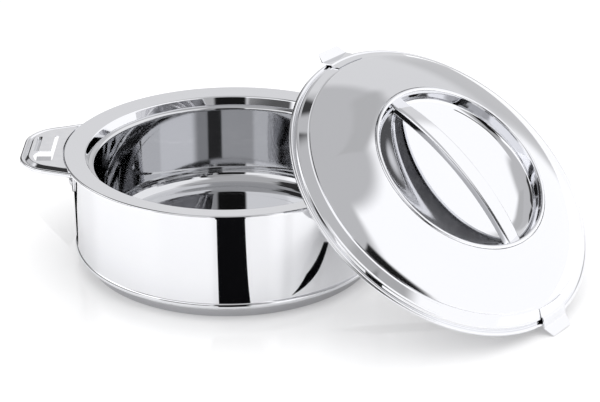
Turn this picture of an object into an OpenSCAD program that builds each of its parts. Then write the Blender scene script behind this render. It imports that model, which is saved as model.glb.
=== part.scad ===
// Insulated chapati casserole. A double-walled steel pot stands on its foot ring, and its
// insulated lid is taken off and leans on the right handle, standing on one of its lock tabs.
// Millimetres, +Z up. The origin is the centre of the foot on the table, X runs through the
// two handles, and the front is -Y.

/* [Pot] */
// Height of the flange's outer edge above the table
pot_h = 86; // [72:1:104]
// Outer radius of the top flange, the widest round part of the pot
flange_r = 125; // [104:1:150]
// Width of the flange, from its outer edge to the mouth
flange_w = 16.2; // [14.5:0.1:18]
// How far the flange stands out over the casing
flange_overhang = 6.5; // [5.5:0.1:7.5]
// Fall of the flange from its outer edge to the mouth
flange_dish = 2.3; // [1:0.1:3]
// Depth of the flange's turned-down outer lip
flange_lip = 2.5; // [2:0.1:3]
// Depth of the step wall between the mouth and the ledge
step_h = 6.3; // [5.5:0.1:7.5]
// How far the step wall leans in over its depth
step_lean = 2.3; // [1.2:0.1:2.6]
// Width of the ledge between the step wall and the food well
ledge_w = 4.3; // [4.1:0.1:6]
// How far the wall of the food well leans in over its depth
well_lean = 0.9; // [0:0.1:2]
// Height of the food well's floor above the table
well_floor_h = 12.5; // [11:0.5:18]
// Bend radius between the wall and the floor of the food well
well_bend = 12; // [8:0.5:16]
// Height of the raised disc in the middle of the well's floor
floor_step = 0.8; // [0.5:0.1:1.2]
// Radius of that raised disc
floor_disc_r = 72; // [55:1:76]

/* [Foot] */
// Height of the bead round the casing's lower edge
bead_h = 12.4; // [12:0.1:16]
// Radius of that bead's section
bead_r = 2.6; // [2:0.1:3]
// How far the bead stands out from the casing
bead_out = 1; // [0.6:0.1:1.4]
// How far the foot ring lies inside the casing
foot_inset = 9.5; // [8:0.5:14]
// Height of the base plate's middle above the table
base_lift = 4; // [3.5:0.1:5]
// Radius of the hole that the foam is poured through
filler_r = 6; // [4:0.5:8]

/* [Handles] */
// Reach of a handle's flat top beyond the flange
ear_reach = 24.6; // [22:0.2:28]
// Half the width of a handle's top at its tip
ear_tip_half = 29.6; // [27:0.2:33]
// Radius of the two corners of the tip
ear_corner_r = 23; // [19:0.5:25]
// Radius of the sweep from a handle into the flange
ear_sweep_r = 14; // [10:0.5:18]
// How far the rolled rim stands out round the flat top
ear_rim_out = 6.4; // [5.8:0.2:7]
// Depth of the rolled rim below the flat top
ear_rim_h = 4.4; // [4.2:0.1:6]
// Distance of the handle's L-shaped window from the flange
window_gap = 6.1; // [5:0.1:7]
// Width of the window's long arm, beside the tongue
window_arm_w = 2.9; // [2.4:0.1:3.4]
// Length of that arm behind the middle of the handle
window_arm_side = 21.5; // [19:0.5:23]
// Reach of the window's open side before the middle of the handle
window_open_side = 26; // [24:0.5:27]
// Height of the raised lip along the open side
window_lip_h = 1.8; // [1.4:0.1:2.2]
// Width of the tongue between the window and the pressed groove
tongue_w = 9.3; // [8.5:0.1:10]
// How far the tongue reaches past the middle of the handle
tongue_tip = 8; // [6:0.5:10]
// Width of the pressed groove beyond the tongue
groove_w = 3.6; // [3:0.1:4]
// Height of the bracket below a handle
bracket_h = 27; // [24:0.5:32]
// Width of that bracket
bracket_w = 54; // [46:1:60]
// Thickness of the bracket
bracket_t = 1.2; // [1:0.1:1.5]
// Distance between the bracket's two rivets
rivet_pitch = 40; // [30:1:44]
// Depth of the rivets below the flange's edge
rivet_drop = 19; // [16:0.5:21]
// Radius of a rivet's shank
rivet_r = 2; // [1.5:0.1:2.5]
// Radius of a rivet's domed head
rivet_head_r = 3.8; // [3.4:0.1:4.5]

/* [Lid] */
// How much smaller the lid's radius is than the flange's
lid_inset = 1.7; // [0.5:0.1:3]
// Radius of the rolled bead on the lid's edge
lid_bead_r = 1.5; // [1.2:0.1:1.8]
// Height of the crease inside that bead
crease_h = 5.8; // [5.6:0.1:6.4]
// Width of the lid's rim, from its edge to the dome
rim_w = 11.7; // [11.2:0.1:13]
// Height of the dome's outer edge
dome_edge_h = 10.6; // [10.4:0.1:12]
// Swell of the dome over the straight line between its edges
dome_swell = 1.6; // [0.5:0.1:3]
// Radius of the bead round the lid's finger dish
dish_r = 68; // [58:1:74]
// Height of that bead
dish_rim_h = 29; // [27:0.5:32]
// Height of the dish's lowest point
dish_floor_h = 8; // [6:0.5:10]
// Radius of the section of the dish's bead
dish_bead_r = 1.5; // [1.2:0.1:1.8]
// Height of the top of the grip bar in the middle
grip_h = 32; // [30:0.5:36]
// Height of the top of the grip bar at the wall of the dish
grip_end_h = 21.3; // [20:0.5:23]
// Width of the grip bar in the middle
grip_w = 15; // [12:0.5:18]
// Width of the grip bar at its ends
grip_end_w = 13; // [11:0.5:16]
// Depth of the grip bar's sides
grip_side = 6.2; // [5:0.2:7]
// Depth of the inner cover below the lid's edge
pan_depth = 12.5; // [11:0.5:15]
// Depth of the cover's step that goes into the mouth
pan_step = 4.5; // [3.5:0.1:5.5]
// Clearance between the inner cover and the food well
pan_clear = 3; // [2:0.1:5]
// Width of a lock tab
tab_w = 27; // [20:0.5:32]
// How far a lock tab reaches beyond the lid's edge
tab_reach = 9.7; // [8:0.1:13]
// Corner radius of a lock tab
tab_corner_r = 4; // [2:0.5:6]

/* [Lid, as it leans] */
// Tilt of the lid from level
lid_tilt = 37.3; // [34:0.1:42]
// Compass direction that the lid faces, turned from +X
lean_azimuth = -43.1; // [-50:0.1:-35]
// Sideways shift of the lid along the handle that it leans on
lean_shift = 56; // [50:0.5:60]
// Turn of the lock tabs from the line of steepest fall
tab_twist = 2.5; // [0:0.5:6]

/* [Sheet and fits] */
// Thickness of the steel sheet
sheet_t = 0.8; // [0.6:0.05:1]
// Gap between spun pieces that nest
nest_gap = 0.1; // [0.05:0.01:0.15]
// Gap round a piece that is set beside another
fit_gap = 0.3; // [0.2:0.05:0.4]
// Gap round the foam
foam_gap = 0.2; // [0.1:0.05:0.3]

/* [Hidden] */
$fn = 96;

STEEL = "gainsboro";
FOAM = "palegoldenrod";
PLUG = "dimgray";

casing_r = flange_r - flange_overhang;
casing_in = casing_r - sheet_t;
mouth_r = flange_r - flange_w;
mouth_h = pot_h - flange_dish;
ledge_h = mouth_h - step_h;
ledge_r = mouth_r - step_lean;
well_r = ledge_r - ledge_w;
ledge_bend = 3;
seat_in = well_r + ledge_bend + nest_gap;
bead_in = casing_r + bead_out - bead_r;
hem_h = bead_h - bead_r;
hem_in = casing_r - 5.3;
foot_r = casing_r - foot_inset;
foot_half = 1.6;

// ---- Bent sheet: a line of [x, y, bend radius] corners, and the sheet on its left ----

function xy(p) = [p.x, p.y];
function left_of(v) = [-v.y, v.x] / norm(v);
function arc(centre, r, from, to, n) =
  [for (i = [0:n]) centre + r * [cos(from + (to - from) * i / n), sin(from + (to - from) * i / n)]];

// The bend of radius r at corner b, between a and c: [centre, radius, start angle, turn]
function bend(a, b, c, r) =
  let (
    u = (a - b) / norm(a - b),
    v = (c - b) / norm(c - b),
    half = acos(u * v) / 2,
    centre = b + (u + v) / norm(u + v) * r / sin(half),
    start = b + u * r / tan(half) - centre,
    end = b + v * r / tan(half) - centre,
    from = atan2(start.y, start.x)
  )
  [centre, r, from, (atan2(end.y, end.x) - from + 540) % 360 - 180];

// The point at share s along a bend
function bend_point(b, s) = b[0] + b[1] * [cos(b[2] + s * b[3]), sin(b[2] + s * b[3])];
function bent_corner(a, b, c, r, n) = [for (i = [0:n]) bend_point(bend(a, b, c, r), i / n)];

function is_bent(p) = len(p) > 2 && p[2] > 0;

// An open line with its corners bent, n straight pieces to a bend
function bent_line(p, n = 3) =
  [for (i = [0:len(p) - 1])
    each (i > 0 && i < len(p) - 1 && is_bent(p[i]))
      ? bent_corner(xy(p[i - 1]), xy(p[i]), xy(p[i + 1]), p[i][2], n)
      : [xy(p[i])]];

// A closed outline with its corners rounded
function rounded_loop(p, n = 6) =
  let (m = len(p))
  [for (i = [0:m - 1])
    each is_bent(p[i])
      ? bent_corner(xy(p[(i + m - 1) % m]), xy(p[i]), xy(p[(i + 1) % m]), p[i][2], n)
      : [xy(p[i])]];

// The line moved sideways to its left. A line that ends on the axis still ends there.
function beside(p, d) =
  let (last = len(p) - 1)
  [for (i = [0:last])
    let (
      a = left_of(p[max(i, 1)] - p[max(i, 1) - 1]),
      b = left_of(p[min(i, last - 1) + 1] - p[min(i, last - 1)]),
      q = p[i] + d * (a + b) / (1 + a * b)
    )
    [p[i].x == 0 ? 0 : q.x, q.y]];

function reversed(p) = [for (i = [len(p) - 1:-1:0]) p[i]];
function sheet(p, t = sheet_t) = concat(p, reversed(beside(p, t)));

module spun(points) {
  rotate_extrude() polygon(points);
}

// A solid skin over rings of points that have the same number of points each
module skin(rings) {
  n = len(rings);
  m = len(rings[0]);
  polyhedron(
    points = [for (ring = rings) each ring],
    faces = concat(
      [[for (j = [0:m - 1]) j]],
      [for (i = [0:n - 2], j = [0:m - 1])
        let (k = (j + 1) % m)
        each [
          [i * m + j, (i + 1) * m + j, (i + 1) * m + k],
          [i * m + j, (i + 1) * m + k, i * m + k]
        ]],
      [[for (j = [m - 1:-1:0]) (n - 1) * m + j]]
    )
  );
}

// ---- Pot ----

// Upper face of the collar: outer lip, flange, step wall, and the seat under the ledge
collar_line = bent_line([
  [flange_r, pot_h - flange_lip],
  [flange_r, pot_h, 1.2],
  [mouth_r, mouth_h, 1.6],
  [ledge_r, ledge_h, 0],
  [ledge_r, ledge_h - sheet_t, 0],
  [seat_in, ledge_h - sheet_t]
]);

// Upper face of the liner: ledge, wall, and the floor with its raised disc
liner_line = bent_line([
  [ledge_r - nest_gap, ledge_h],
  [well_r, ledge_h, ledge_bend],
  [well_r - well_lean, well_floor_h, well_bend],
  [floor_disc_r + 1.5, well_floor_h, 0.6],
  [floor_disc_r, well_floor_h + floor_step, 0.6],
  [0, well_floor_h + floor_step]
], 4);

// Outer face of the casing: bottom hem, bead, wall, and the lip under the flange
flange_slope = flange_dish / flange_w;
function under_flange(r) = pot_h - (flange_r - r) * flange_slope - sheet_t * norm([1, flange_slope]);
casing_lip_in = casing_r - 5;
bead_end = acos((bead_r - bead_out) / bead_r);
casing_line = concat(
  [[hem_in, hem_h]],
  arc([bead_in, bead_h], bead_r, -90, bead_end, 6),
  [
    [casing_r, under_flange(casing_r) - nest_gap],
    [casing_lip_in, under_flange(casing_lip_in) - nest_gap]
  ]
);

// Lower face of the base plate: dished middle, foot ring, and the rim under the casing's hem
plate_rim_h = hem_h - sheet_t;
base_line = bent_line([
  [filler_r, base_lift],
  [foot_r - foot_half - 3.5, base_lift, 1],
  [foot_r - foot_half, 0, 1],
  [foot_r + foot_half, 0, 1],
  [hem_in + 0.7, plate_rim_h, 1],
  [bead_in, plate_rim_h]
]);

module radial_bore(azimuth, z, r, from, to) {
  rotate([0, 0, azimuth]) translate([from, 0, z]) rotate([0, 90, 0]) cylinder(r = r, h = to - from);
}

rivet_z = pot_h - rivet_drop;
rivet_turn = asin(rivet_pitch / 2 / casing_r);
rivet_bore_r = rivet_r + 0.15;
RIVET_SIDES = [for (side = [0, 180], turn = [-1, 1]) side + turn * rivet_turn];

module outer_casing() {
  color(STEEL) difference() {
    spun(sheet(casing_line));
    for (azimuth = RIVET_SIDES) radial_bore(azimuth, rivet_z, rivet_bore_r, casing_r - 5, casing_r + 5);
  }
}

module top_collar() {
  color(STEEL) spun(sheet(collar_line));
}

module inner_liner() {
  color(STEEL) spun(sheet(liner_line));
}

// The foam fills the space between liner and casing, and stands on the base plate
plug_pocket_h = 3.4;
rivet_pocket_r = 4.4;
foam_top = ledge_h - 2 * sheet_t - foam_gap;
foam_out = casing_in - foam_gap;
foam_in = beside([for (p = liner_line) if (p.y < foam_top) p], sheet_t + foam_gap);
module body_insulation() {
  color(FOAM) difference() {
    spun(concat(
      [[0, base_lift + sheet_t], [foot_r - foot_half - 3, base_lift + sheet_t]],
      [[hem_in, hem_h + sheet_t + foam_gap], [bead_in - 1, hem_h + sheet_t + foam_gap]],
      [[foam_out, bead_h + bead_r], [foam_out, foam_top], [foam_in[0].x + 0.6, foam_top]],
      foam_in
    ));
    translate([0, 0, base_lift]) cylinder(r = filler_r + 2, h = plug_pocket_h);
    for (azimuth = RIVET_SIDES) radial_bore(azimuth, rivet_z, rivet_pocket_r, casing_r - 4, casing_r + 5);
  }
}

module base_plate() {
  color(STEEL) spun(sheet(base_line));
}

// A push-in plug: flat head under the plate, and a barbed stem
plug_stem_r = filler_r - 0.2;
module base_filler_plug() {
  color(PLUG) translate([0, 0, base_lift]) spun([
    [0, -1.6],
    [filler_r + 2, -1.6],
    [filler_r + 3, -0.8],
    [filler_r + 3, 0],
    [plug_stem_r, 0],
    [plug_stem_r, sheet_t + 0.2],
    [filler_r + 0.5, sheet_t + 0.6],
    [plug_stem_r - 0.8, plug_pocket_h - 0.4],
    [0, plug_pocket_h - 0.4]
  ]);
}

// ---- Handles, drawn on the right side of the pot ----

ear_tip = flange_r + ear_reach;
ear_root_x = flange_r - 7;
ear_hidden_x = flange_r - 20;

// The sides flare by 44 in 117 towards the pot. 44, 117 and 125 are the sides of a right
// triangle, which keeps the joints of the rolled rim exact.
ear_flare = 44 / 117;
ear_root_half = ear_tip_half + ear_flare * (ear_tip - ear_root_x);
ear_side = [ear_hidden_x, ear_tip_half + ear_flare * (ear_tip - ear_hidden_x)];

// The flat top's own corners are a little rounder, so that they stay inside the rim's section
ear_flat_corner_r = ear_corner_r + 2;
ear_line = bent_line([
  [flange_r - 14, -ear_root_half - 12.5],
  [ear_root_x, -ear_root_half, ear_sweep_r],
  [ear_tip, -ear_tip_half, ear_flat_corner_r],
  [ear_tip, ear_tip_half, ear_flat_corner_r],
  [ear_root_x, ear_root_half, ear_sweep_r],
  [flange_r - 14, ear_root_half + 12.5]
], 6);

// The rolled rim runs straight from the casing to a corner of the tip, round it and to the middle
ear_bend = bend([ear_tip, 0], [ear_tip, ear_tip_half], ear_side, ear_corner_r);
ear_bend_c = ear_bend[0];

// Section of the rim round a handle: [out from the flat top's edge, height from the flat top]
ear_rim_line = bent_line([
  [ear_rim_out - 1, -ear_rim_h],
  [ear_rim_out, -ear_rim_h + 0.8, 0],
  [ear_rim_out, -0.9, 1.2],
  [ear_rim_out - 2, -0.9, 0.9],
  [ear_rim_out * 0.47, -2.3, 0.7],
  [0, 0, 0.9],
  [-2, 0]
], 2);
ear_rim_section = sheet(ear_rim_line);

module ear_rim_run(length) {
  translate([0, length, 0]) rotate([90, 0, 0]) linear_extrude(length)
    translate([ear_corner_r, 0]) polygon(ear_rim_section);
}

module ear_rim() {
  side_run = norm(ear_side - bend_point(ear_bend, 1));
  for (side = [0, 1]) mirror([0, side, 0]) translate([ear_bend_c.x, ear_bend_c.y, pot_h]) {
    translate([0, -ear_bend_c.y, 0]) ear_rim_run(ear_bend_c.y);
    difference() {
      rotate_extrude(angle = ear_bend[3] + 10) translate([ear_corner_r, 0]) polygon(ear_rim_section);
      rotate([0, 0, ear_bend[3]]) translate([0, 0, -2 * ear_rim_h]) cube([2 * ear_corner_r, 2 * ear_corner_r, 3 * ear_rim_h]);
    }
    rotate([0, 0, ear_bend[3]]) ear_rim_run(side_run);
  }
}

window_in = flange_r + window_gap;
tongue_in = window_in + window_arm_w;
tongue_out = tongue_in + tongue_w;
groove_out = tongue_out + groove_w;
groove_side = window_arm_side - 1.5;

// The L-shaped window, and the slot that the pressed groove fills
module ear_window() {
  polygon(rounded_loop([
    [window_in, -window_arm_side, 1.2],
    [tongue_in, -window_arm_side, 1.2],
    [tongue_in, tongue_tip, 1.5],
    [tongue_out, tongue_tip],
    [groove_out - 0.3, tongue_tip + 7.5, 2],
    [groove_out - 3.3, window_open_side, 3],
    [window_in, window_open_side, 2]
  ]));
  translate([tongue_out, -groove_side]) square([groove_w, groove_side + tongue_tip + 0.5]);
}

// The lip rises from the window's open side towards its middle
module window_lip() {
  translate([window_in + 0.7, 0, pot_h]) rotate([90, 0, 90])
    linear_extrude(groove_out - window_in - 5) polygon(sheet([
      [window_open_side + 1.4, 0],
      [window_open_side + 0.4, 0],
      [window_open_side - 3.4, window_lip_h]
    ]));
}

// The groove slopes down from the tongue and turns up steeply at its outer side
module window_groove() {
  translate([0, tongue_tip, pot_h]) rotate([90, 0, 0])
    linear_extrude(tongue_tip + groove_side) polygon(sheet([
      [groove_out + 0.6, 0],
      [groove_out, 0],
      [groove_out - 0.7, -2],
      [tongue_out, 0],
      [tongue_out - 0.6, 0]
    ]));
}

ear_root_top = pot_h - flange_lip - fit_gap;
ear_root_low = ear_root_top - bracket_t;
module ear() {
  color(STEEL) difference() {
    union() {
      difference() {
        translate([0, 0, pot_h - sheet_t]) linear_extrude(sheet_t) polygon(beside(ear_line, 1));
        translate([0, 0, pot_h - 2 * sheet_t]) linear_extrude(3 * sheet_t) ear_window();
      }
      ear_rim();
      window_lip();
      window_groove();
      intersection() {
        translate([0, 0, ear_root_low]) linear_extrude(pot_h - ear_root_low) polygon(beside(ear_line, 1));
        rotate_extrude() polygon([
          [casing_r + fit_gap, ear_root_low],
          [flange_r + fit_gap + sheet_t, ear_root_low],
          [flange_r + fit_gap + sheet_t, pot_h],
          [flange_r + fit_gap, pot_h],
          [flange_r + fit_gap, ear_root_top],
          [casing_r + fit_gap, ear_root_top]
        ]);
      }
    }
    translate([0, 0, ear_root_top]) cylinder(r = flange_r + fit_gap, h = flange_lip + 5);
    translate([0, 0, pot_h - 2 * ear_rim_h]) cylinder(r = casing_r + fit_gap, h = 3 * ear_rim_h);
  }
}

bracket_in = casing_r + nest_gap;
bracket_out = bracket_in + bracket_t;
module ear_bracket() {
  low = pot_h - bracket_h;
  color(STEEL) difference() {
    intersection() {
      rotate_extrude() polygon([
        [bracket_in, low - 1],
        [bracket_out, low - 1],
        [bracket_out, ear_root_low - bracket_t],
        [flange_r + 2, ear_root_low - bracket_t],
        [flange_r + 2, ear_root_low],
        [bracket_in, ear_root_low]
      ]);
      translate([0, 0, pot_h]) rotate([90, 0, 90]) linear_extrude(flange_r + 10) polygon(rounded_loop([
        [-bracket_w / 2, 0],
        [-bracket_w / 2, -bracket_h, 6],
        [bracket_w / 2, -bracket_h, 6],
        [bracket_w / 2, 0]
      ]));
    }
    for (turn = [-1, 1])
      radial_bore(turn * rivet_turn, rivet_z, rivet_bore_r, casing_r - 5, casing_r + 5);
  }
}

// Domed head outside the bracket, shank, and the flattened tail inside the casing
module ear_rivets() {
  head = bracket_out + 0.1;
  tail = casing_in - 0.1;
  dome = arc([0, head - 3.2], 5.2, asin((3.2 + 0.4) / 5.2), 90, 5);
  color(STEEL) for (turn = [-1, 1])
    rotate([0, 0, turn * rivet_turn]) translate([0, 0, rivet_z]) rotate([0, 90, 0]) spun(concat(
      [[0, tail - 1], [rivet_r + 1.2, tail - 1], [rivet_r + 1.2, tail], [rivet_r, tail]],
      [[rivet_r, head], [dome[0].x, head]],
      [for (p = dome) [min(p.x, rivet_head_r), p.y]]
    ));
}

module left_side() {
  rotate([0, 0, 180]) children();
}

module right_handle() {
  ear();
}

module left_handle() {
  left_side() ear();
}

module right_handle_bracket() {
  ear_bracket();
}

module left_handle_bracket() {
  left_side() ear_bracket();
}

module right_handle_rivets() {
  ear_rivets();
}

module left_handle_rivets() {
  left_side() ear_rivets();
}

// ---- Lid, drawn level with its edge at height 0 ----

lid_r = flange_r - lid_inset;
crease_r = lid_r - 5.5;
dome_r = lid_r - rim_w;
dome_in = dish_r + dish_bead_r + 0.4;
dome_in_h = dish_rim_h - 1.1;

// Upper face of the dome: one arc that swells over its chord
function swelling_arc(a, b, swell, n) =
  let (
    half = norm(b - a) / 2,
    r = (half * half + swell * swell) / (2 * swell),
    out = -left_of(b - a),
    centre = (a + b) / 2 + out * (swell - r),
    reach = asin(half / r),
    middle = atan2(out.y, out.x)
  )
  arc(centre, r, middle - reach, middle + reach, n);
dome_line = swelling_arc([dome_r, dome_edge_h], [dome_in, dome_in_h], dome_swell, 8);
under_dome = beside(dome_line, sheet_t + nest_gap);

// Upper face of the rim: hem, rolled bead, groove, crease, shoulder, and the lip under the dome
bead_c = [lid_r - lid_bead_r, lid_bead_r];
shoulder = [dome_r + 1.4, dome_edge_h - 1.1];
rim_line = concat(
  [[bead_c.x - 0.8, 0]],
  arc(bead_c, lid_bead_r, -90, 100, 7),
  bent_line([
    bead_c + lid_bead_r * [cos(125), sin(125)],
    [lid_r - 3.2, 2.3, 0.4],
    [crease_r + 1.5, crease_h - 0.6, 0.9],
    [crease_r, crease_h, 0.5],
    [shoulder.x, shoulder.y, 0.6],
    under_dome[0]
  ], 2),
  [under_dome[1]]
);

module lid_dome() {
  color(STEEL) on_lid() spun(sheet(dome_line));
}

module lid_rim() {
  color(STEEL) on_lid() spun(sheet(rim_line));
}

// Lower face of the inner cover: floor, step into the mouth, and the rim inside the hem
pan_r = well_r - pan_clear;
pan_mouth_r = mouth_r - 1.4;
cover_line = bent_line([
  [0, -pan_depth],
  [pan_r - 0.7, -pan_depth, 3],
  [pan_r + 0.6, -pan_step, 1.4],
  [pan_mouth_r - 0.8, -pan_step, 1.4],
  [pan_mouth_r, 0, 1],
  [bead_c.x - 1.1, 0]
]);

module lid_inner_cover() {
  color(STEEL) on_lid() spun(sheet(cover_line));
}

// Upper face of the dish: flange under the dome, bead, steep wall, and an elliptical bowl
bowl_r = dish_r - 2.7;
bowl_rim_h = dish_rim_h - 7.5;
dish_bead_c = [dish_r, dish_rim_h - dish_bead_r];
bowl_line = [for (i = [0:10])
  [bowl_r * (i == 10 ? 0 : cos(9 * i)), dish_floor_h + (bowl_rim_h - dish_floor_h) * (1 - sin(9 * i))]];
dish_wall_line = concat(arc(dish_bead_c, dish_bead_r, 90, 180, 3), bowl_line);
dish_line = concat(
  [under_dome[7], [dish_r + dish_bead_r, under_dome[8].y]],
  arc(dish_bead_c, dish_bead_r, 0, 60, 2),
  dish_wall_line
);

module handle_dish() {
  color(STEEL) on_lid() spun(sheet(dish_line));
}

lid_foam_top = concat(
  beside([for (i = [0:7]) dome_line[i]], 2 * sheet_t + 2 * foam_gap),
  beside(bowl_line, sheet_t + foam_gap)
);
lid_foam_low = beside([for (i = [0:len(cover_line) - 3]) cover_line[i]], sheet_t + foam_gap);
module lid_insulation() {
  color(FOAM) on_lid() spun(concat(
    [[0, -pan_depth + sheet_t]],
    [[pan_r - 5, -pan_depth + sheet_t]],
    [for (p = lid_foam_low) if (p.x > pan_r - 4) p],
    lid_foam_top
  ));
}

// The grip bar is a channel bent to an arch. Its ends meet the wall of the dish.
grip_rise = grip_h - grip_end_h;
grip_bend_r = (bowl_r * bowl_r + grip_rise * grip_rise) / (2 * grip_rise);
grip_half_turn = asin(bowl_r / grip_bend_r);
GRIP_STATIONS = 16;

function grip_width(s) = grip_w - (grip_w - grip_end_w) * s * s;
function grip_section(w) = sheet(bent_line([
  [w / 2 - 2.4, -grip_side],
  [w / 2, -grip_side, sheet_t + 0.3],
  [w / 2, 0, 2.2],
  [-w / 2, 0, 2.2],
  [-w / 2, -grip_side, sheet_t + 0.3],
  [-w / 2 + 2.4, -grip_side]
], 3));
function strip_section(w) =
  let (half = w / 2 - sheet_t - 0.25, low = -grip_side + sheet_t + nest_gap)
  [[half, low], [half, low + sheet_t], [-half, low + sheet_t], [-half, low]];

function on_grip(p, s) =
  let (turn = s * grip_half_turn, r = grip_bend_r + p.y)
  [r * sin(turn), p.x, grip_h - grip_bend_r + r * cos(turn)];

module inside_dish() {
  intersection() {
    children();
    spun(concat(
      beside(dish_wall_line, -fit_gap / 2),
      [[0, grip_h + 10], [dish_r - dish_bead_r - fit_gap, grip_h + 10]]
    ));
  }
}

module grip_bar() {
  color(STEEL) on_lid() inside_dish() skin([for (i = [-GRIP_STATIONS / 2:GRIP_STATIONS / 2])
    let (s = 2.2 * i / GRIP_STATIONS)
    [for (p = grip_section(grip_width(min(1, abs(s))))) on_grip(p, s)]]);
}

module grip_underside() {
  color(STEEL) on_lid() inside_dish() skin([for (i = [-GRIP_STATIONS / 2:GRIP_STATIONS / 2])
    let (s = 2.2 * i / GRIP_STATIONS)
    [for (p = strip_section(grip_width(min(1, abs(s))))) on_grip(p, s)]]);
}

// A lock tab is a strip over the rim: foot on the shoulder, down over the bead, flat plate
tab_out = lid_r + tab_reach;
tab_top_h = 2 * sheet_t;
tab_gap = sheet_t + nest_gap;
slope = (shoulder - [crease_r, crease_h]) / norm(shoulder - [crease_r, crease_h]);
tab_line = bent_line([
  [tab_out + 4, tab_top_h],
  [lid_r + 1.8, tab_top_h, 1.2],
  [lid_r - 3.3, crease_h + tab_gap + 0.05, sheet_t + 0.1],
  [crease_r, crease_h, 0] - tab_gap * [left_of(slope).x, left_of(slope).y, 0] + [0.1, 0.1, 0],
  [shoulder.x, shoulder.y, 0] - tab_gap * [left_of(slope).x, left_of(slope).y, 0]
], 3);

module lock_tab() {
  reach = asin(tab_w / 2 / crease_r) + 3;
  intersection() {
    rotate([0, 0, -reach]) rotate_extrude(angle = 2 * reach) polygon(sheet(tab_line));
    translate([0, 0, -5]) linear_extrude(30) polygon(rounded_loop([
      [dome_r - 5, -tab_w / 2],
      [tab_out, -tab_w / 2, tab_corner_r],
      [tab_out, tab_w / 2, tab_corner_r],
      [dome_r - 5, tab_w / 2]
    ]));
  }
}

module lower_lock_tab() {
  color(STEEL) on_lid() lock_tab();
}

module upper_lock_tab() {
  color(STEEL) on_lid() rotate([0, 0, 180]) lock_tab();
}

// ---- Where the lid leans ----
// The lower tab's corner stands on the table, and the inner cover rests on the corner of the
// right handle. lean_n is the lid's axis, and lean_u points along its fall on the table.

stand_gap = 0.1;
lean_n = [sin(lid_tilt) * cos(lean_azimuth), sin(lid_tilt) * sin(lean_azimuth), cos(lid_tilt)];
lean_u = [cos(lean_azimuth), sin(lean_azimuth)];
lean_v = [-lean_u.y, lean_u.x];

tab_fall = (tab_out - tab_corner_r) * cos(tab_twist) + (tab_w / 2 - tab_corner_r) * sin(tab_twist);
lid_z = stand_gap + (tab_fall + tab_corner_r) * sin(lid_tilt) - (tab_top_h - sheet_t) * cos(lid_tilt);

// Highest reach of the pot along the lid's axis, at the handle's rim and at the flange
ear_support = max([for (s = ear_rim_section)
  (ear_bend_c.x * lean_u.x - ear_bend_c.y * lean_u.y + ear_corner_r + s.x) * sin(lid_tilt)
    + (pot_h + s.y) * cos(lid_tilt)]);
flange_support = flange_r * sin(lid_tilt) + pot_h * cos(lid_tilt);
support = max(ear_support, flange_support);
lid_out = (support + pan_depth + fit_gap - lid_z * cos(lid_tilt)) / sin(lid_tilt);
lid_centre = [
  lid_out * lean_u.x + lean_shift * lean_v.x,
  lid_out * lean_u.y + lean_shift * lean_v.y,
  lid_z
];

module on_lid() {
  translate(lid_centre)
    rotate([0, 0, lean_azimuth])
      rotate([0, lid_tilt, 0])
        rotate([0, 0, tab_twist])
          children();
}

outer_casing();
top_collar();
inner_liner();
body_insulation();
base_plate();
base_filler_plug();
left_handle();
right_handle();
left_handle_bracket();
right_handle_bracket();
left_handle_rivets();
right_handle_rivets();
lid_dome();
lid_rim();
lid_inner_cover();
lid_insulation();
handle_dish();
grip_bar();
grip_underside();
upper_lock_tab();
lower_lock_tab();
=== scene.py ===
"""Insulated chapati casserole: the pot, its lid leaning on one handle, and the studio."""

import logging
import math
from dataclasses import dataclass, field
from enum import Enum
from typing import Sequence

import bpy
import numpy as np
from mathutils import Matrix, Vector
from mathutils.geometry import delaunay_2d_cdt


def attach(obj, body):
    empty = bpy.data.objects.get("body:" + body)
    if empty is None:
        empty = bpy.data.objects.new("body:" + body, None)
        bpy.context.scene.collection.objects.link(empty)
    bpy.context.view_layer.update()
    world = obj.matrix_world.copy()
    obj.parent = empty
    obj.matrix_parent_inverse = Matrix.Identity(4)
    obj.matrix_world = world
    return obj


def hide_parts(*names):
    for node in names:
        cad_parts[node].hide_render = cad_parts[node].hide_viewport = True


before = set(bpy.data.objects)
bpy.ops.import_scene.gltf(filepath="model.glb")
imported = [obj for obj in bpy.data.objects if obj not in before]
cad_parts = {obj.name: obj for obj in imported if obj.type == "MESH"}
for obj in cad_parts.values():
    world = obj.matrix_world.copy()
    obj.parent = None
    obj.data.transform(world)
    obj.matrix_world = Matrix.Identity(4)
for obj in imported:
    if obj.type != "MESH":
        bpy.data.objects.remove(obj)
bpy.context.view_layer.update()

LOG = logging.getLogger("casserole")
MM = 0.001
SHARP = 35.0
TURNS = 288
FINE_TURNS = 360

Point = tuple[float, float]
Triple = tuple[float, float, float]
Corner = tuple[float, ...]
Line = Sequence[Point]
Ring = Sequence[Sequence[float]]
Face = list[int]
Piece = bpy.types.Object
Material = bpy.types.Material
Node = bpy.types.Node
Socket = bpy.types.NodeSocket
Tree = bpy.types.NodeTree


class Body(Enum):
    """The rigid bodies that pieces ride on."""

    POT = "pot"
    LID = "lid"


# ---- bent lines, in millimetres


def unit(v: np.ndarray) -> np.ndarray:
    """Returns v at length 1."""
    return v / np.linalg.norm(v)


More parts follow.
